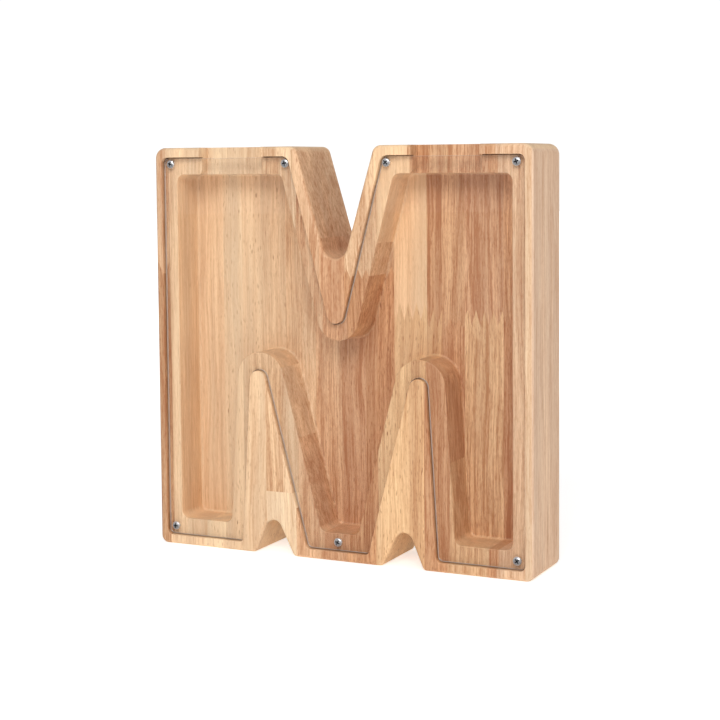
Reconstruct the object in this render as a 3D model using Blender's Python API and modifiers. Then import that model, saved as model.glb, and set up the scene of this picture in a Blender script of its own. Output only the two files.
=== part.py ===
"""A letter-shaped wooden money box: one milled wooden body, a clear front panel and seven screws.

The box stands on its three feet, +Z up, with its front towards -Y. The origin is at the middle of its
footprint, at floor level. Sizes below are in millimetres, and MM turns them into metres.
"""

import math

import bmesh
import bpy
from mathutils import Matrix, Vector

MM = 0.001

# The block
WIDTH = 210.0
HEIGHT = 210.0
DEPTH = 40.0
ARRIS_RADIUS = 1.8
ARRIS_SEGMENTS = 3

# Depths behind the front face
REBATE_DEPTH = 4.0
CAVITY_DEPTH = 24.5
SLOT_DEPTH = 9.3
PILOT_DEPTH = 14.0

# The rim around the front panel, and the ledge that the panel rests on
RIM_SIDE = 4.1
RIM_TOP = 5.0
RIM_BOTTOM = 4.8
LEDGE_SIDE = 7.5
LEDGE_NOTCH = 7.5
LEDGE_TOP = 9.0
LEDGE_BOTTOM = 8.9
LEDGE_ARCH = 9.2

# The clear front panel
PANEL_THICKNESS = 2.0
PANEL_CLEARANCE = 0.5
TOUCH_GAP = 0.3

# The coin slots, cut through the top wall behind the panel's upper edge
SLOT_LENGTH = 36.0
SLOT_CENTRE = 60.0
SLOT_MOUTH_RADIUS = 3.0

# The pan-head screws
SCREW_X_OUTER = 96.3
SCREW_X_INNER = 28.2
SCREW_Z_TOP = 201.5
SCREW_Z_BOTTOM = 9.5
HEAD_RADIUS = 2.2
HEAD_HEIGHT = 1.2
SHANK_RADIUS = 1.2
SHANK_LENGTH = 12.0
TIP_LENGTH = 2.2
RECESS_SPAN = 2.4
RECESS_WIDTH = 0.55
RECESS_DEPTH = 0.6
CLEARANCE_HOLE_RADIUS = 1.55

# How finely curves are faceted
ARC_STEP = math.radians(9.0)
ROUND_STEPS = 20

FRONT = -DEPTH / 2
OVERCUT = 5.0


# Each outline is given by the corners of its right half, from the middle of the notch at the top round
# to the middle foot: (x, z, corner radius). The left half mirrors it.
HALF_WIDTH = WIDTH / 2
BODY_HALF = [
    (0.0, 136.3, 7.0),
    (22.0, HEIGHT, 4.5),
    (HALF_WIDTH, HEIGHT, 5.5),
    (HALF_WIDTH, 0.0, 4.0),
    (47.5, 0.0, 2.6),
    (37.2, 24.5, 4.8),
    (25.0, 0.0, 2.6),
]
REBATE_HALF = [
    (0.0, 108.2, 4.5),
    (26.1, HEIGHT - RIM_TOP, 4.0),
    (HALF_WIDTH - RIM_SIDE, HEIGHT - RIM_TOP, 3.2),
    (HALF_WIDTH - RIM_SIDE, RIM_BOTTOM, 3.2),
    (54.4, RIM_BOTTOM, 3.0),
    (47.7, 118.2, 4.4),
    (17.5, RIM_BOTTOM, 3.0),
]
# The ledge's width along each side of the rebate, from each corner to the next
LEDGE_WIDTHS = [LEDGE_NOTCH, LEDGE_TOP, LEDGE_SIDE, LEDGE_BOTTOM, LEDGE_ARCH, LEDGE_ARCH, LEDGE_BOTTOM]
CAVITY_RADII = [11.5, 4.0, 4.0, 4.0, 4.0, 13.6, 4.0]


def both_halves(half):
    """The whole outline's corners, clockwise seen from the front, starting at the notch's middle."""
    return half + [(-x, z, radius) for x, z, radius in reversed(half) if x > 0]


def both_sides(values):
    """The values of the right half's sides, then those of the left half's. The last side is shared."""
    return values + list(reversed(values[:-1]))


def inset(corners, distances, radii=None):
    """The corners after each side has moved inwards by its own distance."""
    count = len(corners)
    places = [Vector(corner[:2]) for corner in corners]
    lines = []
    for i in range(count):
        along = (places[(i + 1) % count] - places[i]).normalized()
        inwards = Vector((along.y, -along.x))
        lines.append((places[i] + inwards * distances[i], along, inwards))
    moved = []
    for i in range(count):
        start, along, _ = lines[i - 1]
        other, _, inwards = lines[i]
        place = start + along * ((other - start).dot(inwards) / along.dot(inwards))
        reflex = along.dot(inwards) > 0
        change = distances[i] if reflex else -distances[i]
        radius = radii[i] if radii else max(corners[i][2] + change, 0.4)
        moved.append((place.x, place.y, radius))
    return moved


def rounded(corners):
    """The outline's points, with each corner replaced by an arc of its radius."""
    points = []
    for i, (x, z, radius) in enumerate(corners):
        corner = Vector((x, z))
        back = (Vector(corners[i - 1][:2]) - corner).normalized()
        ahead = (Vector(corners[(i + 1) % len(corners)][:2]) - corner).normalized()
        opening = back.angle(ahead)
        centre = corner + (back + ahead).normalized() * radius / math.sin(opening / 2)
        first = corner + back * radius / math.tan(opening / 2) - centre
        turn = -first.angle_signed(corner + ahead * radius / math.tan(opening / 2) - centre)
        steps = max(2, round(abs(turn) / ARC_STEP))
        for step in range(steps + 1):
            points.append(centre + Matrix.Rotation(turn * step / steps, 2) @ first)
    return points


def collection(name):
    made = bpy.data.collections.new(name)
    bpy.context.scene.collection.children.link(made)
    return made


def material(name, colour, roughness, metallic=0.0, transmission=0.0):
    made = bpy.data.materials.new(name)
    made.use_nodes = True
    shader = made.node_tree.nodes["Principled BSDF"]
    shader.inputs["Base Color"].default_value = (*colour, 1.0)
    shader.inputs["Roughness"].default_value = roughness
    shader.inputs["Metallic"].default_value = metallic
    shader.inputs["Transmission Weight"].default_value = transmission
    return made


def plate(name, points, front, back, group):
    """A flat piece of this outline, standing upright between two depths behind the front face."""
    curve = bpy.data.curves.new(name + "_outline", "CURVE")
    curve.dimensions = "2D"
    curve.fill_mode = "BOTH"
    curve.extrude = (back - front) / 2 * MM
    spline = curve.splines.new("POLY")
    spline.points.add(len(points) - 1)
    for target, point in zip(spline.points, points):
        target.co = (point.x * MM, point.y * MM, 0.0, 1.0)
    spline.use_cyclic_u = True
    flat = bpy.data.objects.new(name + "_outline", curve)
    group.objects.link(flat)
    flat.rotation_euler.x = math.pi / 2
    flat.location.y = (FRONT + (front + back) / 2) * MM
    bpy.context.view_layer.update()

    mesh = bpy.data.meshes.new_from_object(flat.evaluated_get(bpy.context.evaluated_depsgraph_get()))
    bm = bmesh.new()
    bm.from_mesh(mesh)
    bmesh.ops.remove_doubles(bm, verts=bm.verts, dist=0.001 * MM)
    bmesh.ops.dissolve_limit(bm, angle_limit=math.radians(1.0), verts=bm.verts, edges=bm.edges)
    bmesh.ops.recalc_face_normals(bm, faces=bm.faces)
    bm.to_mesh(mesh)
    bm.free()
    mesh.name = name
    piece = bpy.data.objects.new(name, mesh)
    piece.matrix_world = flat.matrix_world
    group.objects.link(piece)
    bpy.data.objects.remove(flat)
    bpy.data.curves.remove(curve)
    return piece


def cylinder(name, radius, front, back, x, z, group):
    """A round bar along Y, between two depths behind the front face."""
    mesh = bpy.data.meshes.new(name)
    bm = bmesh.new()
    bmesh.ops.create_cone(
        bm,
        cap_ends=True,
        segments=ROUND_STEPS,
        radius1=radius * MM,
        radius2=radius * MM,
        depth=(back - front) * MM,
    )
    bm.to_mesh(mesh)
    bm.free()
    piece = bpy.data.objects.new(name, mesh)
    piece.rotation_euler.x = math.pi / 2
    piece.location = (x * MM, (FRONT + (front + back) / 2) * MM, z * MM)
    group.objects.link(piece)
    return piece


def cut(target, cutter):
    cutter.hide_render = True
    cutter.display_type = "WIRE"
    boolean = target.modifiers.new("cut_" + cutter.name, "BOOLEAN")
    boolean.operation = "DIFFERENCE"
    boolean.solver = "EXACT"
    boolean.object = cutter


def smooth(piece):
    piece.data.shade_smooth()
    piece.data.set_sharp_from_angle(angle=math.radians(30.0))


def screw_places():
    """Each screw's name, x and z: four along the top and three along the bottom."""
    return [
        ("screw_top_left_outer", -SCREW_X_OUTER, SCREW_Z_TOP),
        ("screw_top_left_inner", -SCREW_X_INNER, SCREW_Z_TOP),
        ("screw_top_right_inner", SCREW_X_INNER, SCREW_Z_TOP),
        ("screw_top_right_outer", SCREW_X_OUTER, SCREW_Z_TOP),
        ("screw_bottom_left", -SCREW_X_OUTER, SCREW_Z_BOTTOM),
        ("screw_bottom_middle", 0.0, SCREW_Z_BOTTOM),
        ("screw_bottom_right", SCREW_X_OUTER, SCREW_Z_BOTTOM),
    ]


def slot_outline(centre):
    """The channel's outline, which flares where it opens through the cavity's ceiling."""
    half = SLOT_LENGTH / 2
    ceiling = HEIGHT - RIM_TOP - LEDGE_TOP
    side = [
        (half, HEIGHT + OVERCUT, 0.1),
        (half, ceiling - TOUCH_GAP, SLOT_MOUTH_RADIUS),
        (half + 2 * SLOT_MOUTH_RADIUS, ceiling - TOUCH_GAP, 0.1),
        (half + 2 * SLOT_MOUTH_RADIUS, ceiling - OVERCUT, 0.1),
    ]
    corners = side + [(-x, z, radius) for x, z, radius in reversed(side)]
    return rounded([(centre + x, z, radius) for x, z, radius in corners])


def make_body(parts, cutters):
    body = plate("wood_body", rounded(both_halves(BODY_HALF)), 0.0, DEPTH, parts)
    arris = body.modifiers.new("arris", "BEVEL")
    arris.width = ARRIS_RADIUS * MM
    arris.segments = ARRIS_SEGMENTS
    arris.limit_method = "ANGLE"
    arris.angle_limit = math.radians(60.0)

    rebate_corners = both_halves(REBATE_HALF)
    cut(body, plate("rebate", rounded(rebate_corners), -OVERCUT, REBATE_DEPTH, cutters))
    radii = CAVITY_RADII + list(reversed(CAVITY_RADII[1:]))
    cavity_corners = inset(rebate_corners, both_sides(LEDGE_WIDTHS), radii)
    cut(body, plate("cavity", rounded(cavity_corners), REBATE_DEPTH - 1.0, CAVITY_DEPTH, cutters))
    for side, centre in (("left", -SLOT_CENTRE), ("right", SLOT_CENTRE)):
        cut(body, plate(f"{side}_slot", slot_outline(centre), -OVERCUT, SLOT_DEPTH, cutters))
    for name, x, z in screw_places():
        pilot = cylinder(f"pilot_{name}", CLEARANCE_HOLE_RADIUS, REBATE_DEPTH - 1.0, PILOT_DEPTH, x, z, cutters)
        cut(body, pilot)
    smooth(body)
    body.data.materials.append(material("oak", (0.62, 0.41, 0.24), 0.5))
    return body


def make_panel(parts, cutters):
    back = REBATE_DEPTH - TOUCH_GAP
    front = back - PANEL_THICKNESS
    corners = both_halves(REBATE_HALF)
    outline = rounded(inset(corners, [PANEL_CLEARANCE] * len(corners)))
    panel = plate("clear_panel", outline, front, back, parts)
    for name, x, z in screw_places():
        cut(panel, cylinder(f"hole_{name}", CLEARANCE_HOLE_RADIUS, front - 1.0, back + 1.0, x, z, cutters))
    smooth(panel)
    panel.data.materials.append(material("acrylic", (0.95, 0.96, 0.96), 0.05, transmission=1.0))
    return panel


def screw_profile():
    """Half of the screw's section, from the crown of its head down its outer side to its tip: (radius, height)."""
    crown = []
    for step in range(4):
        angle = math.radians(90.0 - 25.0 * step)
        crown.append((HEAD_RADIUS * math.cos(angle), HEAD_HEIGHT * (0.25 + 0.75 * math.sin(angle))))
    return crown + [
        (HEAD_RADIUS, 0.2 * HEAD_HEIGHT),
        (HEAD_RADIUS, 0.0),
        (SHANK_RADIUS, 0.0),
        (SHANK_RADIUS, TIP_LENGTH - SHANK_LENGTH),
        (0.0, -SHANK_LENGTH),
    ]


def recess_cutter(cutters):
    """A cross of two bars, sunk into the crown of the head."""
    mesh = bpy.data.meshes.new("recess")
    bm = bmesh.new()
    bmesh.ops.create_cube(bm, size=1.0)
    bmesh.ops.scale(bm, vec=(RECESS_SPAN * MM, RECESS_WIDTH * MM, 2 * RECESS_DEPTH * MM), verts=bm.verts)
    bm.to_mesh(mesh)
    bm.free()
    bars = []
    for turn in (0.0, math.pi / 2):
        bar = bpy.data.objects.new("recess_bar", mesh)
        bar.rotation_euler.z = turn
        bar.location.z = HEAD_HEIGHT * MM
        cutters.objects.link(bar)
        bars.append(bar)
    return bars


def make_screw(name, x, z, mesh, parts, cutters, finish):
    screw = bpy.data.objects.new(name, mesh)
    parts.objects.link(screw)
    screw.rotation_euler.x = math.pi / 2
    underside = REBATE_DEPTH - PANEL_THICKNESS - 2 * TOUCH_GAP
    screw.location = (x * MM, (FRONT + underside) * MM, z * MM)
    turned = screw.modifiers.new("turned", "SCREW")
    turned.axis = "Z"
    turned.angle = 2 * math.pi
    turned.steps = ROUND_STEPS
    turned.render_steps = ROUND_STEPS
    turned.use_merge_vertices = True
    turned.merge_threshold = 0.00001
    for bar in recess_cutter(cutters):
        bar.name = "recess_" + name
        bar.parent = screw
        cut(screw, bar)
    if not mesh.materials:
        mesh.materials.append(finish)
    return screw


def make_screws(parts, cutters):
    mesh = bpy.data.meshes.new("screw")
    profile = screw_profile()
    points = [(radius * MM, 0.0, height * MM) for radius, height in profile]
    mesh.from_pydata(points, [(i, i + 1) for i in range(len(points) - 1)], [])
    finish = material("plated_steel", (0.72, 0.73, 0.75), 0.25, metallic=1.0)
    for name, x, z in screw_places():
        make_screw(name, x, z, mesh, parts, cutters, finish)


def main():
    for old in list(bpy.data.objects):
        bpy.data.objects.remove(old)
    parts = collection("money_box")
    cutters = collection("cutters")
    make_body(parts, cutters)
    make_panel(parts, cutters)
    make_screws(parts, cutters)


main()
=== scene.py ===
"""The looks of a letter-shaped wooden money box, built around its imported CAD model.

Lengths below are in millimetres unless a name says otherwise, and MM turns them into metres. The box stands
on the floor, +Z up, with its front towards -Y. A depth is measured backwards from the front face.
"""

import math

import bmesh
import bpy
from mathutils import Euler, Matrix, Vector
from mathutils.geometry import tessellate_polygon


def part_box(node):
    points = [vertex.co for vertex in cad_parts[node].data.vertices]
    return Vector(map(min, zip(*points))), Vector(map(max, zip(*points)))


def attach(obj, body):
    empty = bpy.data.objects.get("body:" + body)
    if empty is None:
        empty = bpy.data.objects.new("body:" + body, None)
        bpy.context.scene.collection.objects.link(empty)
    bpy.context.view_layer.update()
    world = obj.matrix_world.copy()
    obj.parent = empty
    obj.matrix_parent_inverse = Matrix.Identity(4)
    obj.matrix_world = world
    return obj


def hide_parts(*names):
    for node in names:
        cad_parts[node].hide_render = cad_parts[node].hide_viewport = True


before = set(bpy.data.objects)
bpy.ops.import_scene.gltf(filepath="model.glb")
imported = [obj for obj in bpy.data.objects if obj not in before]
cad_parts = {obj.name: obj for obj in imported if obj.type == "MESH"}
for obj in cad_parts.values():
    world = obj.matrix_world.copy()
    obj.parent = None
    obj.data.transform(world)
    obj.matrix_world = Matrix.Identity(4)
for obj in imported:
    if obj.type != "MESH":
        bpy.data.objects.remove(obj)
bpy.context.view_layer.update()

MM = 0.001
LOW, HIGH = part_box("wood_body")
WIDTH = (HIGH.x - LOW.x) / MM
HEIGHT = HIGH.z / MM
DEPTH = (HIGH.y - LOW.y) / MM
FRONT = LOW.y / MM
HALF_WIDTH = WIDTH / 2

# The body
ARRIS_RADIUS = 1.8
REBATE_DEPTH = 4.0
REBATE_EASING = 0.25
CAVITY_DEPTH = 24.5
CAVITY_EASING = 0.45
CAVITY_FILLET = 1.4
RIM_SIDE = 4.1
RIM_TOP = 5.0
RIM_BOTTOM = 4.8
LEDGE_SIDE = 7.5
LEDGE_NOTCH = 7.5
LEDGE_TOP = 9.0
LEDGE_BOTTOM = 8.9
LEDGE_ARCH = 9.2
CEILING = HEIGHT - RIM_TOP - LEDGE_TOP

# The coin slots
SLOT_DEPTH = 9.3
SLOT_LENGTH = 36.0
SLOT_CENTRE = 60.0
SLOT_MOUTH_RADIUS = 3.0
SHARP_RADIUS = 0.1
OVERCUT = 5.0

# The panel and the screws
PANEL_CLEARANCE = 0.5
PANEL_EASING = 0.15
PANEL_SEAT = 0.2
HEAD_RADIUS = 2.2
HEAD_HEIGHT = 1.2
HEAD_EDGE = 0.12
SCREW_SEAT = 0.4
SCREW_TURN = 1.1
RECESS_REACH = 1.6
RECESS_WIDTH = 0.85
RECESS_FLOOR_REACH = 1.0
RECESS_FLOOR_WIDTH = 0.55
RECESS_FLOOR = -0.85
RECESS_OVERCUT = 0.6
THREAD_RADIUS = 1.2
THREAD_ROOT = 0.85
THREAD_PITCH = 1.0
THREAD_FLANK = 0.32
SHANK_LENGTH = 12.0
TIP_LENGTH = 2.6
TIP_BLUNTNESS = 0.04
HOLE_RADIUS = 1.55
HOLE_DEPTH = 14.0

# How finely curves are faceted
CORNER_STEPS = 18
EASING_STEPS = 4
ROUND_STEPS = 40
CROWN_STEPS = 8
THREAD_ROWS = 144
MERGE_DISTANCE = 0.0005
FLAT_DEGREES = 0.2
CREASE_DEGREES = 35.0

# Each outline is given by the corners of its right half, from the middle of the notch at the top round
# to the middle foot: (x, z, corner radius). The left half mirrors it.
BODY_HALF = [
    (0.0, 136.3, 7.0),
    (22.0, HEIGHT, 4.5),
    (HALF_WIDTH, HEIGHT, 5.5),
    (HALF_WIDTH, 0.0, 4.0),
    (47.5, 0.0, 2.6),
    (37.2, 24.5, 4.8),
    (25.0, 0.0, 2.6),
]
REBATE_HALF = [
    (0.0, 108.2, 4.5),
    (26.1, HEIGHT - RIM_TOP, 4.0),
    (HALF_WIDTH - RIM_SIDE, HEIGHT - RIM_TOP, 3.2),
    (HALF_WIDTH - RIM_SIDE, RIM_BOTTOM, 3.2),
    (54.4, RIM_BOTTOM, 3.0),
    (47.7, 118.2, 4.4),
    (17.5, RIM_BOTTOM, 3.0),
]
# The ledge's width along each side of the rebate, from each corner to the next
LEDGE_WIDTHS = [LEDGE_NOTCH, LEDGE_TOP, LEDGE_SIDE, LEDGE_BOTTOM, LEDGE_ARCH, LEDGE_ARCH, LEDGE_BOTTOM]
CAVITY_RADII = [11.5, 4.0, 4.0, 4.0, 4.0, 13.6, 4.0]


# ---- Outlines ----


def both_halves(half):
    """The whole outline's corners, clockwise seen from the front, starting at the notch's middle."""
    return half + [(-x, z, radius) for x, z, radius in reversed(half) if x > 0]


def both_sides(values):
    """The values of the right half's sides, then those of the left half's. The last side is shared."""
    return values + list(reversed(values[:-1]))


def inset(corners, distances, radii=None):
    """The corners after each side has moved inwards by its own distance."""
    count = len(corners)
    places = [Vector(corner[:2]) for corner in corners]
    lines = []
    for i in range(count):
        along = (places[(i + 1) % count] - places[i]).normalized()
        inwards = Vector((along.y, -along.x))
        lines.append((places[i] + inwards * distances[i], along, inwards))
    moved = []
    for i in range(count):
        start, along, _ = lines[i - 1]
        other, _, inwards = lines[i]
        place = start + along * ((other - start).dot(inwards) / along.dot(inwards))
        reflex = along.dot(inwards) > 0
        change = distances[i] if reflex else -distances[i]
        radius = radii[i] if radii else max(corners[i][2] + change, 0.3)
        moved.append((place.x, place.y, radius))
    return moved


def evenly_inset(corners, distance):
    return inset(corners, [distance] * len(corners))


def rounded(corners):
    """The outline's points, with each corner replaced by an arc that has the same number of steps."""
    points = []
    for i, (x, z, radius) in enumerate(corners):
        corner = Vector((x, z))
        back = (Vector(corners[i - 1][:2]) - corner).normalized()
        ahead = (Vector(corners[(i + 1) % len(corners)][:2]) - corner).normalized()
        opening = back.angle(ahead)
        centre = corner + (back + ahead).normalized() * radius / math.sin(opening / 2)
        first = corner + back * radius / math.tan(opening / 2) - centre
        turn = -first.angle_signed(corner + ahead * radius / math.tan(opening / 2) - centre)
        for step in range(CORNER_STEPS + 1):
            points.append(centre + Matrix.Rotation(turn * step / CORNER_STEPS, 2) @ first)
    return points


def circle(x, z, radius):
    turns = [2 * math.pi * step / ROUND_STEPS for step in range(ROUND_STEPS)]
    return [Vector((x + radius * math.cos(turn), z + radius * math.sin(turn))) for turn in turns]


def quarter(radius):
    """A quarter circle's steps, as (across, down), from (radius, 0) to (0, radius), bulging towards (0, 0)."""
    angles = [math.pi / 2 * step / EASING_STEPS for step in range(EASING_STEPS + 1)]
    return [(radius * (1 - math.sin(angle)), radius * (1 - math.cos(angle))) for angle in angles]


# ---- Mesh building ----


class Shell:
    """A closed mesh made of rings of points, skins between them, and flat fills."""

    def __init__(self, name):
        self.name = name
        self.bm = bmesh.new()

    def ring(self, points, depth):
        return [self.bm.verts.new((p.x * MM, (FRONT + depth) * MM, p.y * MM)) for p in points]

    def skin(self, rings):
        for near, far in zip(rings, rings[1:]):
            for i in range(len(near)):
                j = (i + 1) % len(near)
                self.bm.faces.new((near[i], near[j], far[j], far[i]))

    def fill(self, outline, holes=()):
        rings = [outline, *holes]
        verts = [vert for ring in rings for vert in ring]
        for triangle in tessellate_polygon([[vert.co for vert in ring] for ring in rings]):
            self.bm.faces.new([verts[i] for i in triangle])

    def finish(self):
        bmesh.ops.recalc_face_normals(self.bm, faces=self.bm.faces)
        mesh = bpy.data.meshes.new(self.name)
        self.bm.to_mesh(mesh)
        self.bm.free()
        piece = bpy.data.objects.new(self.name, mesh)
        bpy.context.scene.collection.objects.link(piece)
        return piece


def bake_modifiers(piece):
    """Replaces the piece's mesh with what its modifiers make of it."""
    bpy.context.view_layer.update()
    graph = bpy.context.evaluated_depsgraph_get()
    mesh = bpy.data.meshes.new_from_object(piece.evaluated_get(graph), depsgraph=graph)
    piece.modifiers.clear()
    piece.data = mesh
    mesh.name = piece.name


def combine(piece, other, operation):
    """Applies a Boolean to the piece and removes the other object."""
    boolean = piece.modifiers.new("boolean", "BOOLEAN")
    boolean.operation = operation
    boolean.solver = "EXACT"
    boolean.object = other
    bake_modifiers(piece)
    bpy.data.objects.remove(other)


def tidy_surface(piece):
    """Merges coplanar faces and makes rounded edges run smoothly into the flats beside them."""
    bm = bmesh.new()
    bm.from_mesh(piece.data)
    bmesh.ops.remove_doubles(bm, verts=bm.verts, dist=MERGE_DISTANCE * MM)
    bmesh.ops.dissolve_limit(bm, angle_limit=math.radians(FLAT_DEGREES), verts=bm.verts, edges=bm.edges)
    bm.to_mesh(piece.data)
    bm.free()
    piece.data.shade_smooth()
    piece.data.set_sharp_from_angle(angle=math.radians(CREASE_DEGREES))
    weighted = piece.modifiers.new("weighted_normals", "WEIGHTED_NORMAL")
    weighted.mode = "FACE_AREA"
    weighted.weight = 90
    weighted.keep_sharp = True
    bake_modifiers(piece)


# ---- Node trees ----


def linear(code):
    """A colour written as RRGGBB, as a linear RGBA tuple."""
    channels = [int(code[i:i + 2], 16) / 255 for i in (0, 2, 4)]
    return (*[c / 12.92 if c <= 0.04045 else ((c + 0.055) / 1.055) ** 2.4 for c in channels], 1.0)


class Graph:
    """Short calls for building one material's node tree."""

    def __init__(self, name):
        self.material = bpy.data.materials.new(name)
        self.material.use_nodes = True
        self.nodes = self.material.node_tree.nodes
        self.links = self.material.node_tree.links
        self.shader = self.nodes["Principled BSDF"]
        self.output = self.nodes["Material Output"]

    def put(self, socket, value):
        if isinstance(value, bpy.types.NodeSocket):
            self.links.new(value, socket)
        else:
            socket.default_value = value

    def math(self, operation, *values):
        node = self.nodes.new("ShaderNodeMath")
        node.operation = operation
        for socket, value in zip(node.inputs, values):
            self.put(socket, value)
        return node.outputs[0]

    def total(self, *values):
        result = values[0]
        for value in values[1:]:
            result = self.math("ADD", result, value)
        return result

    def times(self, *values):
        result = values[0]
        for value in values[1:]:
            result = self.math("MULTIPLY", result, value)
        return result

    def scaled(self, vector, scale):
        node = self.nodes.new("ShaderNodeVectorMath")
        node.operation = "MULTIPLY"
        self.put(node.inputs[0], vector)
        self.put(node.inputs[1], scale)
        return node.outputs[0]

    def joined(self, x, y, z):
        node = self.nodes.new("ShaderNodeCombineXYZ")
        for socket, value in zip(node.inputs, (x, y, z)):
            self.put(socket, value)
        return node.outputs[0]

    def split(self, vector):
        node = self.nodes.new("ShaderNodeSeparateXYZ")
        self.put(node.inputs[0], vector)
        return node.outputs

    def place(self):
        """The point on the piece, in millimetres."""
        return self.scaled(self.nodes.new("ShaderNodeTexCoord").outputs["Object"], (1 / MM,) * 3)

    def noise(self, vector, detail=2.0, roughness=0.5):
        node = self.nodes.new("ShaderNodeTexNoise")
        self.put(node.inputs["Vector"], vector)
        node.inputs["Scale"].default_value = 1.0
        node.inputs["Detail"].default_value = detail
        node.inputs["Roughness"].default_value = roughness
        return node.outputs["Fac"]

    def cells(self, vector):
        """The distance to the nearest of a set of scattered points."""
        node = self.nodes.new("ShaderNodeTexVoronoi")
        self.put(node.inputs["Vector"], vector)
        node.inputs["Scale"].default_value = 1.0
        return node.outputs["Distance"]

    def fade(self, value, low, high, start=0.0, end=1.0):
        """Goes smoothly from start to end as the value goes from low to high."""
        node = self.nodes.new("ShaderNodeMapRange")
        node.interpolation_type = "SMOOTHSTEP"
        for socket, given in zip(node.inputs, (value, low, high, start, end)):
            self.put(socket, given)
        return node.outputs[0]

    def ramp(self, factor, stops, interpolation="CONSTANT"):
        node = self.nodes.new("ShaderNodeValToRGB")
        node.color_ramp.interpolation = interpolation
        self.put(node.inputs[0], factor)
        elements = node.color_ramp.elements
        elements[0].position, elements[0].color = stops[0]
        elements[1].position, elements[1].color = stops[1]
        for position, colour in stops[2:]:
            elements.new(position).color = colour
        return node.outputs[0]

    def mix(self, factor, first, second, blend="MIX"):
        node = self.nodes.new("ShaderNodeMix")
        node.data_type = "RGBA"
        node.blend_type = blend
        self.put(node.inputs[0], factor)
        self.put(node.inputs[6], first)
        self.put(node.inputs[7], second)
        return node.outputs[2]

    def set(self, **values):
        for name, value in values.items():
            self.put(self.shader.inputs[name.replace("_", " ")], value)


# ---- Wood ----

# The block is glued up from upright staves. Each stave has its left edge, the height of the joint between
# its two lengths, the length of the fingers that show there, and for the upper and the lower length: colour,
# grain contrast, pore strength.
NO_JOINT = 0.0
STAVES = [
    (-105.0, 147.0, 8.0, ("D8AE8A", 0.85, 0.3), ("CC9E78", 0.95, 0.4)),
    (-99.0, NO_JOINT, 0.0, ("E6C29D", 0.45, 0.3), ("E6C29D", 0.45, 0.3)),
    (-78.0, NO_JOINT, 0.0, ("E8C8A4", 0.34, 0.8), ("E8C8A4", 0.34, 0.8)),
    (-67.0, NO_JOINT, 0.0, ("E4C09B", 0.34, 0.8), ("E4C09B", 0.34, 0.8)),
    (-55.0, NO_JOINT, 0.0, ("E0BB96", 0.50, 0.6), ("E0BB96", 0.50, 0.6)),
    (-41.0, 33.0, 0.0, ("DFB892", 0.75, 0.4), ("EACBA8", 0.50, 0.3)),
    (-33.0, 33.0, 0.0, ("E4C19D", 0.70, 0.4), ("EACBA8", 0.50, 0.3)),
    (-23.0, NO_JOINT, 0.0, ("DEB48F", 0.85, 0.6), ("DEB48F", 0.85, 0.6)),
    (-9.0, NO_JOINT, 0.0, ("D6A680", 0.90, 0.6), ("D6A680", 0.90, 0.6)),
    (5.0, 146.0, 5.0, ("E0B994", 0.80, 0.6), ("CF9C73", 0.90, 0.8)),
    (22.0, 126.0, 9.0, ("E8C199", 0.38, 0.3), ("E3BA8E", 0.60, 1.0)),
    (40.0, 123.0, 9.0, ("D2A27A", 0.95, 0.4), ("D8AB80", 0.70, 1.0)),
    (48.0, 121.0, 5.0, ("D4A67F", 0.95, 0.5), ("D2A078", 0.95, 0.6)),
    (60.0, 124.0, 8.0, ("D7A984", 1.00, 0.5), ("DFB68D", 0.95, 0.5)),
    (81.0, 124.0, 8.0, ("D5A47C", 1.00, 0.5), ("D39F76", 1.00, 0.5)),
    (86.0, NO_JOINT, 0.0, ("DEB795", 0.70, 0.2), ("DEB795", 0.70, 0.2)),
    (100.4, NO_JOINT, 0.0, ("DEBB99", 0.60, 0.2), ("DEBB99", 0.60, 0.2)),
    (103.6, NO_JOINT, 0.0, ("DEBB9E", 0.55, 0.2), ("DEBB9E", 0.55, 0.2)),
]
FINGER_PITCH = 4.6
LONGEST_FINGER = 10.0
# What every stave's red, green and blue are multiplied by
COLOUR_GAIN = (0.98, 1.04, 1.07)
GRAIN_SHIFTS = 17
# How fast each layer of the grain changes across the face, through the block and up the stave
TONE_RATE = (0.10, 0.10, 0.006)
BROAD_RATE = (0.28, 0.22, 0.008)
NARROW_RATE = (0.75, 0.70, 0.016)
LINE_RATE = (1.5, 1.4, 0.045)
FLECK_RATE = (1.6, 1.6, 0.30)
RING_RATE = (0.05, 0.06, 0.0035)
RINGS_PER_MM = 0.13
SMALL_PORE_RATE = (0.85, 0.85, 0.18)
LARGE_PORE_RATE = (0.20, 0.20, 0.060)
# What dark and pale grain and the pores multiply a stave's colour by
DARK_TINT = (0.69, 0.47, 0.34, 1.0)
PALE_TINT = (1.27, 1.26, 1.21, 1.0)
PORE_TINT = (0.66, 0.52, 0.42, 1.0)


def stave_share(x):
    return min(max((x + HALF_WIDTH) / WIDTH, 0.0), 1.0)


def stave_stops(pick):
    return [(stave_share(stave[0]), pick(index, stave)) for index, stave in enumerate(STAVES)]


def length_colour(length):
    channels = [channel * gain for channel, gain in zip(linear(length[0]), COLOUR_GAIN)]
    return (*channels, 1.0)


def length_traits(index, length, salt):
    """A shift of the grain that differs from one length to the next, its contrast and its pore strength."""
    shift = ((index * 7 + salt * 5) % GRAIN_SHIFTS) / GRAIN_SHIFTS
    return (shift, length[1], length[2], 1.0)


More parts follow.
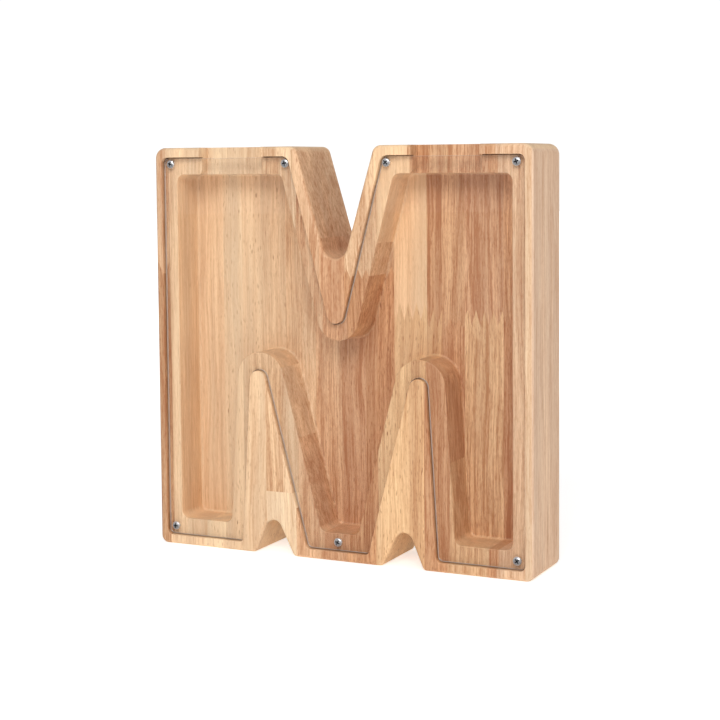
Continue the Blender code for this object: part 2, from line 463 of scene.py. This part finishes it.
def wood_material():
    g = Graph("finger_jointed_wood")
    x, y, z = g.split(g.place())
    across = g.math("DIVIDE", g.math("ADD", x, HALF_WIDTH), WIDTH)

    # Which length of the stave a point is in
    joints = g.ramp(across, stave_stops(lambda i, s: (s[1] / HEIGHT, s[2] / LONGEST_FINGER, 0.0, 1.0)))
    joint, finger, _ = g.split(joints)
    zigzag = g.math("SUBTRACT", g.times(g.math("PINGPONG", x, FINGER_PITCH / 2), 2 / FINGER_PITCH), 0.5)
    edge = g.total(g.times(joint, HEIGHT), g.times(zigzag, finger, LONGEST_FINGER))
    upper = g.math("GREATER_THAN", z, edge)
    colour = g.mix(
        upper,
        g.ramp(across, stave_stops(lambda i, s: length_colour(s[4]))),
        g.ramp(across, stave_stops(lambda i, s: length_colour(s[3]))),
    )
    traits = g.mix(
        upper,
        g.ramp(across, stave_stops(lambda i, s: length_traits(i, s[4], 1))),
        g.ramp(across, stave_stops(lambda i, s: length_traits(i, s[3], 2))),
    )
    shift, contrast, porosity = g.split(traits)

    # The grain runs up the stave, and wanders a little
    drift = g.total(g.times(z, 0.012), g.times(shift, 40.0))
    wander = g.noise(g.joined(g.times(x, 0.02), g.times(y, 0.03), drift))
    grain_x = g.total(x, g.times(wander, 7.0), g.times(shift, 370.0))
    grain = g.joined(grain_x, g.total(y, g.times(shift, 910.0)), g.total(z, g.times(shift, 5000.0)))

    tone = g.noise(g.scaled(grain, TONE_RATE), 2.0)
    broad = g.noise(g.scaled(grain, BROAD_RATE), 3.0, 0.55)
    narrow = g.noise(g.scaled(grain, NARROW_RATE), 3.0, 0.65)
    line = g.noise(g.scaled(grain, LINE_RATE), 2.0, 0.6)
    fleck = g.noise(g.scaled(grain, FLECK_RATE), 2.0, 0.7)

    ring_sway = g.times(g.noise(g.scaled(grain, RING_RATE), 1.0), 3.0)
    ring = g.math("FRACT", g.total(g.times(grain_x, RINGS_PER_MM), ring_sway))
    late_wood = g.times(g.fade(ring, 0.55, 0.93), g.fade(ring, 0.94, 1.0, 1.0, 0.0))

    streak = g.total(
        g.times(g.fade(broad, 0.40, 0.62), 0.28),
        g.times(g.fade(narrow, 0.45, 0.58), 0.40),
        g.times(g.fade(line, 0.47, 0.58), 0.36),
        g.times(g.fade(fleck, 0.49, 0.60), 0.28),
        g.times(late_wood, 0.22),
    )
    dark = g.mix(1.0, colour, DARK_TINT, "MULTIPLY")
    pale = g.mix(1.0, colour, PALE_TINT, "MULTIPLY")
    colour = g.mix(g.fade(tone, 0.38, 0.66, 0.25, 1.0), colour, pale)
    normal = g.nodes.new("ShaderNodeNewGeometry").outputs["Normal"]
    end_grain = g.fade(g.math("ABSOLUTE", g.split(normal)[2]), 0.1, 0.8)
    contrast = g.times(contrast, g.math("SUBTRACT", 1.0, g.times(end_grain, 0.65)))
    colour = g.mix(g.math("MINIMUM", g.times(streak, contrast), 0.95), colour, dark)

    # Short dark pores, and a few larger ones
    small = g.cells(g.scaled(grain, SMALL_PORE_RATE))
    large = g.cells(g.scaled(grain, LARGE_PORE_RATE))
    pore = g.times(g.fade(small, 0.14, 0.30, 1.0, 0.0), g.fade(fleck, 0.38, 0.52))
    dash = g.fade(large, 0.045, 0.10, 1.0, 0.0)
    marks = g.math("MINIMUM", g.times(g.total(g.times(pore, 0.55), g.times(dash, 0.9)), porosity), 1.0)
    colour = g.mix(marks, colour, g.mix(1.0, dark, PORE_TINT, "MULTIPLY"))

    bump = g.nodes.new("ShaderNodeBump")
    bump.inputs["Strength"].default_value = 0.25
    bump.inputs["Distance"].default_value = 0.15 * MM
    relief = g.math("SUBTRACT", g.total(g.times(line, 0.5), g.times(narrow, 0.5)), marks)
    g.links.new(relief, bump.inputs["Height"])

    g.set(Base_Color=colour, Roughness=g.fade(streak, 0.0, 1.0, 0.46, 0.56), Normal=bump.outputs["Normal"])
    g.set(Specular_IOR_Level=0.45)
    return g.material


# ---- Acrylic and steel ----


def acrylic_material():
    """Clear acrylic that lets lamplight and light bounced off the wood pass straight through."""
    g = Graph("clear_acrylic")
    g.set(Base_Color=(0.93, 0.915, 0.91, 1.0), Roughness=0.0, Transmission_Weight=1.0, IOR=1.49)
    path = g.nodes.new("ShaderNodeLightPath")
    clear = g.nodes.new("ShaderNodeBsdfTransparent")
    surface = g.shader.outputs[0]
    for kind in ("Is Diffuse Ray", "Is Shadow Ray"):
        choice = g.nodes.new("ShaderNodeMixShader")
        g.links.new(path.outputs[kind], choice.inputs[0])
        g.links.new(surface, choice.inputs[1])
        g.links.new(clear.outputs[0], choice.inputs[2])
        surface = choice.outputs[0]
    g.links.new(surface, g.output.inputs["Surface"])
    return g.material


def acrylic_edge_material():
    """The sheet's cut edges, milky where the faces are clear, tinted a darker brownish grey as painted shade
    of the gap beside them. They also shade the gap round the sheet.
    """
    g = Graph("milky_acrylic_edge_painted_shade")
    # Painted shade: the edge's colour is darkened to a brownish grey to stand in for the shaded gap.
    g.set(Base_Color=(0.54, 0.45, 0.38, 1.0), Roughness=0.4)
    return g.material


def steel_material():
    """Nickel-plated steel with a faint satin texture, and painted shade that colours the cross recess near
    black.
    """
    g = Graph("nickel_plated_steel")
    spots = g.noise(g.scaled(g.place(), (3.0, 3.0, 3.0)), 3.0)
    x, y, height = g.split(g.place())
    reach = g.math("SQRT", g.total(g.times(x, x), g.times(y, y)))
    # Painted shade: inside the cross recess the colour goes near black, standing in for the shade there.
    recess = g.times(g.fade(reach, RECESS_REACH, RECESS_REACH + 0.1, 1.0, 0.0), g.fade(height, 0.0, 0.05))
    recess = g.times(recess, g.fade(height, HEAD_HEIGHT - 0.40, HEAD_HEIGHT - 0.15, 1.0, 0.0))
    bright = g.mix(g.fade(spots, 0.35, 0.65), (0.90, 0.90, 0.92, 1.0), (0.74, 0.74, 0.76, 1.0))
    g.set(
        Base_Color=g.mix(recess, bright, (0.07, 0.07, 0.075, 1.0)),
        Roughness=g.fade(spots, 0.3, 0.7, 0.26, 0.36),
        Metallic=0.75,
    )
    return g.material


# ---- Pieces ----


def screw_places():
    """Each screw's node, x and z, from its CAD solid."""
    places = []
    for node in sorted(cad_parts):
        if node.startswith("screw_"):
            low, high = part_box(node)
            places.append((node, (low.x + high.x) / 2 / MM, (low.z + high.z) / 2 / MM))
    return places


def make_slot_cutter(centre):
    """A coin slot: open at the front, flared at the cavity's ceiling, with its lower edge eased."""
    half = SLOT_LENGTH / 2
    wide = half + 2 * SLOT_MOUTH_RADIUS
    side = [
        (half, HEIGHT + OVERCUT, SHARP_RADIUS),
        (half, CEILING - CAVITY_EASING / 2, SLOT_MOUTH_RADIUS),
        (wide, CEILING - CAVITY_EASING / 2, SHARP_RADIUS),
        (wide, CEILING - OVERCUT, SHARP_RADIUS),
    ]
    corners = [(centre + x, z, r) for x, z, r in side + [(-x, z, r) for x, z, r in reversed(side)]]
    shape = Shell("slot_cutter")
    rings = [shape.ring(rounded(evenly_inset(corners, -REBATE_EASING)), -OVERCUT)]
    for across, down in quarter(REBATE_EASING):
        rings.append(shape.ring(rounded(evenly_inset(corners, -across)), down))
    rings.append(shape.ring(rounded(corners), SLOT_DEPTH + 3 * OVERCUT))
    shape.skin(rings)
    shape.fill(rings[0])
    shape.fill(rings[-1])
    cutter = shape.finish()

    # The channel's section, seen along the slot: depth and height
    section = [(-2 * OVERCUT, CEILING - 2 * OVERCUT)]
    section.append((SLOT_DEPTH + CAVITY_EASING, CEILING - 2 * OVERCUT))
    for across, down in reversed(quarter(CAVITY_EASING)):
        section.append((SLOT_DEPTH + down, CEILING + across))
    for across, down in quarter(REBATE_EASING):
        section.append((SLOT_DEPTH + down, HEIGHT - across))
    section.append((SLOT_DEPTH + REBATE_EASING, HEIGHT + 2 * OVERCUT))
    section.append((-2 * OVERCUT, HEIGHT + 2 * OVERCUT))
    prism = Shell("slot_section")
    ends = []
    for x in (centre - wide - OVERCUT, centre + wide + OVERCUT):
        ends.append([prism.bm.verts.new((x * MM, (FRONT + d) * MM, z * MM)) for d, z in section])
    prism.skin(ends)
    for end in ends:
        prism.fill(end)
    combine(cutter, prism.finish(), "INTERSECT")
    return cutter


def make_body(finish):
    shape = Shell("milled_wood_body")
    outline = both_halves(BODY_HALF)
    rebate = both_halves(REBATE_HALF)
    radii = CAVITY_RADII + list(reversed(CAVITY_RADII[1:]))
    cavity = inset(rebate, both_sides(LEDGE_WIDTHS), radii)

    outside = [shape.ring(rounded(evenly_inset(outline, a)), d) for a, d in quarter(ARRIS_RADIUS)]
    for across, down in reversed(quarter(ARRIS_RADIUS)):
        outside.append(shape.ring(rounded(evenly_inset(outline, across)), DEPTH - down))
    shape.skin(outside)
    shape.fill(outside[-1])

    step = [shape.ring(rounded(evenly_inset(rebate, -a)), d) for a, d in quarter(REBATE_EASING)]
    step.append(shape.ring(rounded(rebate), REBATE_DEPTH))
    shape.skin(step)
    shape.fill(outside[0], [step[0]])

    walls = []
    for across, down in quarter(CAVITY_EASING):
        walls.append(shape.ring(rounded(evenly_inset(cavity, -across)), REBATE_DEPTH + down))
    for across, down in quarter(CAVITY_FILLET):
        walls.append(shape.ring(rounded(evenly_inset(cavity, down)), CAVITY_DEPTH - across))
    shape.skin(walls)
    shape.fill(walls[-1])

    holes = []
    for _, x, z in screw_places():
        mouth = shape.ring(circle(x, z, HOLE_RADIUS), REBATE_DEPTH)
        bottom = shape.ring(circle(x, z, HOLE_RADIUS), HOLE_DEPTH - HOLE_RADIUS / 2)
        point = shape.ring(circle(x, z, HOLE_RADIUS / 8), HOLE_DEPTH)
        shape.skin([mouth, bottom, point])
        shape.fill(point)
        holes.append(mouth)
    shape.fill(step[-1], [walls[0], *holes])

    body = shape.finish()
    for centre in (-SLOT_CENTRE, SLOT_CENTRE):
        combine(body, make_slot_cutter(centre), "DIFFERENCE")
    tidy_surface(body)
    body.data.materials.clear()
    body.data.materials.append(finish)
    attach(body, "box")
    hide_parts("wood_body")
    return body


def make_panel(finish, edge_finish):
    """The clear sheet, with its edges eased and a hole for each screw."""
    low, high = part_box("clear_panel")
    front = low.y / MM - FRONT + PANEL_SEAT
    back = high.y / MM - FRONT + PANEL_SEAT
    outline = evenly_inset(both_halves(REBATE_HALF), PANEL_CLEARANCE)
    shape = Shell("clear_front_panel")
    profile = [(across, front + down) for across, down in quarter(PANEL_EASING)]
    profile += [(across, back - down) for across, down in reversed(quarter(PANEL_EASING))]
    edge = [shape.ring(rounded(evenly_inset(outline, across)), depth) for across, depth in profile]
    shape.skin(edge)
    bores = []
    for _, x, z in screw_places():
        bore = [shape.ring(circle(x, z, HOLE_RADIUS + across), depth) for across, depth in profile]
        shape.skin(bore)
        bores.append(bore)
    shape.fill(edge[0], [bore[0] for bore in bores])
    shape.fill(edge[-1], [bore[-1] for bore in bores])
    panel = shape.finish()
    tidy_surface(panel)
    panel.data.materials.append(finish)
    panel.data.materials.append(edge_finish)
    for face in panel.data.polygons:
        face.material_index = 0 if abs(face.normal.y) > 0.9 else 1
    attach(panel, "panel")
    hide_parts("clear_panel")
    return panel


def recess_wing(turn):
    """One bar of the cross recess, which tapers towards the bottom."""
    bm = bmesh.new()
    for vert in bmesh.ops.create_cube(bm, size=1.0)["verts"]:
        deep = vert.co.z < 0
        vert.co.x *= 2 * (RECESS_FLOOR_REACH if deep else RECESS_REACH)
        vert.co.y *= RECESS_FLOOR_WIDTH if deep else RECESS_WIDTH
        vert.co.z = RECESS_FLOOR if deep else RECESS_OVERCUT
    bmesh.ops.rotate(bm, verts=bm.verts, cent=(0, 0, 0), matrix=Matrix.Rotation(turn, 3, "Z"))
    bmesh.ops.scale(bm, verts=bm.verts, vec=(MM, MM, MM))
    mesh = bpy.data.meshes.new("recess_wing")
    bm.to_mesh(mesh)
    bm.free()
    cutter = bpy.data.objects.new("recess_wing", mesh)
    bpy.context.scene.collection.objects.link(cutter)
    cutter.location.z = HEAD_HEIGHT * MM
    return cutter


def head_profile():
    """The head's section, from the middle of its crown to its underside: (radius, height)."""
    crown = []
    for step in range(CROWN_STEPS + 1):
        angle = math.pi / 2 * (1 - step / CROWN_STEPS)
        crown.append((HEAD_RADIUS * math.cos(angle) ** 0.75, HEAD_HEIGHT * (0.3 + 0.7 * math.sin(angle))))
    return crown[1:] + [(HEAD_RADIUS, HEAD_EDGE), (HEAD_RADIUS - HEAD_EDGE, 0.0), (THREAD_RADIUS, 0.0)]


def thread_radius(turn, height):
    """The shank's radius at an angle and a height below the head, with a helical ridge and a point."""
    phase = (height / THREAD_PITCH - turn / (2 * math.pi)) % 1.0
    ridge = max(0.0, 1.0 - abs(phase - 0.5) / THREAD_FLANK)
    start = min(1.0, max(0.0, -height / THREAD_PITCH))
    point = min(1.0, max(TIP_BLUNTNESS, (SHANK_LENGTH + height) / TIP_LENGTH))
    return (THREAD_ROOT + (THREAD_RADIUS - THREAD_ROOT) * ridge * start) * point


def screw_mesh():
    """A pan-head screw along Z, its underside at z = 0 and its point below."""
    bm = bmesh.new()
    turns = [2 * math.pi * step / ROUND_STEPS for step in range(ROUND_STEPS)]
    rings = []
    for radius, height in head_profile():
        rings.append([(radius * math.cos(t), radius * math.sin(t), height) for t in turns])
    for row in range(1, THREAD_ROWS + 1):
        height = -SHANK_LENGTH * row / THREAD_ROWS
        radii = [thread_radius(turn, height) for turn in turns]
        rings.append([(r * math.cos(t), r * math.sin(t), height) for r, t in zip(radii, turns)])
    made = [[bm.verts.new([c * MM for c in co]) for co in ring] for ring in rings]
    for near, far in zip(made, made[1:]):
        for i in range(ROUND_STEPS):
            j = (i + 1) % ROUND_STEPS
            bm.faces.new((near[i], near[j], far[j], far[i]))
    bm.faces.new(made[0])
    bm.faces.new(made[-1])
    bmesh.ops.recalc_face_normals(bm, faces=bm.faces)
    mesh = bpy.data.meshes.new("pan_head_screw")
    bm.to_mesh(mesh)
    bm.free()
    model = bpy.data.objects.new("screw_model", mesh)
    bpy.context.scene.collection.objects.link(model)
    for turn in (0.0, math.pi / 2):
        combine(model, recess_wing(turn), "DIFFERENCE")
    tidy_surface(model)
    mesh = model.data
    bpy.data.objects.remove(model)
    return mesh


def make_screws(finish):
    mesh = screw_mesh()
    mesh.materials.clear()
    mesh.materials.append(finish)
    for index, (node, x, z) in enumerate(screw_places()):
        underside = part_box(node)[0].y / MM + HEAD_HEIGHT
        screw = bpy.data.objects.new(node + "_fine", mesh)
        bpy.context.scene.collection.objects.link(screw)
        turned = Euler((math.pi / 2, 0.0, 0.0)).to_matrix() @ Matrix.Rotation(index * SCREW_TURN, 3, "Z")
        screw.rotation_euler = turned.to_euler()
        screw.location = (x * MM, (underside + SCREW_SEAT) * MM, z * MM)
        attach(screw, node)
        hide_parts(node)


# ---- Studio ----


# The brightness of the room as it lights the box, as the camera shows it, and as the panel mirrors it
ROOM_LIGHT = 0.45
BACKDROP_LIGHT = 1.05
MIRRORED_LIGHT = 0.22
# The floor glows, and what the camera sees of it glows more away from the box, where it goes white.
# Its own radius is in metres.
FLOOR_RADIUS = 6.0
FLOOR_GLOW = 0.40
FLOOR_GLOW_NEAR = 0.50
FLOOR_GLOW_FAR = 0.85
GLOW_NEAR_RADIUS = 250.0
GLOW_FAR_RADIUS = 900.0


def make_floor():
    """A pale disc, dim where it is mirrored."""
    bm = bmesh.new()
    bmesh.ops.create_circle(bm, cap_ends=True, segments=96, radius=FLOOR_RADIUS)
    mesh = bpy.data.meshes.new("studio_floor")
    bm.to_mesh(mesh)
    bm.free()
    floor = bpy.data.objects.new("studio_floor", mesh)
    bpy.context.scene.collection.objects.link(floor)
    g = Graph("white_sweep")
    path = g.nodes.new("ShaderNodeLightPath").outputs
    mirrored = g.math("COMPARE", path["Glossy Depth"], 1.0, 0.5)
    direct = g.math("SUBTRACT", 1.0, mirrored)
    g.set(Base_Color=g.mix(mirrored, (0.90, 0.90, 0.90, 1.0), (0.10, 0.10, 0.10, 1.0)), Roughness=0.9)
    g.set(Emission_Color=(1.0, 1.0, 1.0, 1.0), Specular_IOR_Level=0.1)
    x, y, _ = g.split(g.place())
    far = g.total(g.times(x, x), g.times(y, y))
    shown = g.fade(far, GLOW_NEAR_RADIUS ** 2, GLOW_FAR_RADIUS ** 2, FLOOR_GLOW_NEAR, FLOOR_GLOW_FAR)
    g.set(Emission_Strength=g.times(direct, g.fade(path["Is Camera Ray"], 0.0, 1.0, FLOOR_GLOW, shown)))
    mesh.materials.append(g.material)


def make_lamp(name, place, target, size, power):
    """A rectangular lamp that faces the target. Lengths are in metres, power in watts."""
    lamp = bpy.data.lights.new(name, "AREA")
    lamp.shape = "RECTANGLE"
    lamp.size, lamp.size_y = size
    lamp.energy = power
    stand = bpy.data.objects.new(name, lamp)
    bpy.context.scene.collection.objects.link(stand)
    stand.location = place
    stand.rotation_euler = (Vector(target) - Vector(place)).to_track_quat("-Z", "Y").to_euler()


def make_world():
    """A white backdrop that lights the box less than it shows, and a dim room for things to mirror."""
    world = bpy.data.worlds.new("pale_room")
    world.use_nodes = True
    nodes, links = world.node_tree.nodes, world.node_tree.links
    path = nodes.new("ShaderNodeLightPath").outputs
    mirrored = nodes.new("ShaderNodeMath")
    mirrored.operation = "COMPARE"
    links.new(path["Glossy Depth"], mirrored.inputs[0])
    mirrored.inputs[1].default_value = 1.0
    mirrored.inputs[2].default_value = 0.5
    room = nodes["Background"]
    room.inputs["Color"].default_value = (1.0, 1.0, 1.0, 1.0)
    room.inputs["Strength"].default_value = ROOM_LIGHT
    surface = room.outputs[0]
    layers = [
        (path["Is Transmission Ray"], BACKDROP_LIGHT),
        (path["Is Camera Ray"], BACKDROP_LIGHT),
        (mirrored.outputs[0], MIRRORED_LIGHT),
    ]
    for choose, strength in layers:
        shown = nodes.new("ShaderNodeBackground")
        shown.inputs["Color"].default_value = (1.0, 1.0, 1.0, 1.0)
        shown.inputs["Strength"].default_value = strength
        choice = nodes.new("ShaderNodeMixShader")
        links.new(choose, choice.inputs[0])
        links.new(surface, choice.inputs[1])
        links.new(shown.outputs[0], choice.inputs[2])
        surface = choice.outputs[0]
    links.new(surface, nodes["World Output"].inputs["Surface"])
    return world


def make_lights():
    """Soft boxes in front and to the right, in a pale room. Lengths are in metres, powers in watts."""
    middle = (0.0, 0.0, 0.10)
    make_lamp("front_softbox", (0.48, -1.60, 1.25), middle, (1.2, 0.9), 21.0)
    make_lamp("right_panel", (1.50, -0.25, 0.35), middle, (1.0, 0.8), 4.0)
    bpy.context.scene.world = make_world()


# The camera's place is in metres, its turns are in degrees
CAMERA_PLACE = (0.3598, -0.7365, 0.2002)
CAMERA_YAW = 25.74
CAMERA_PITCH = 90.0 - 4.0
CAMERA_ROLL = -0.48
CAMERA_SHIFT = -0.1146
FOCAL_LENGTH = 80.3
SENSOR_WIDTH = 36.0


def make_camera():
    """A long lens in front of the box and to its right, a little below its top and tilted down."""
    lens = bpy.data.cameras.new("camera")
    lens.lens = FOCAL_LENGTH
    lens.sensor_width = SENSOR_WIDTH
    lens.shift_y = CAMERA_SHIFT
    camera = bpy.data.objects.new("camera", lens)
    bpy.context.scene.collection.objects.link(camera)
    camera.location = CAMERA_PLACE
    yaw = Matrix.Rotation(math.radians(CAMERA_YAW), 3, "Z")
    pitch = Matrix.Rotation(math.radians(CAMERA_PITCH), 3, "X")
    roll = Matrix.Rotation(math.radians(CAMERA_ROLL), 3, "Z")
    camera.rotation_euler = (yaw @ pitch @ roll).to_euler()
    bpy.context.scene.camera = camera
    bpy.context.scene.view_settings.view_transform = "Standard"


def main():
    make_camera()
    make_floor()
    make_lights()
    make_body(wood_material())
    make_panel(acrylic_material(), acrylic_edge_material())
    make_screws(steel_material())


main()
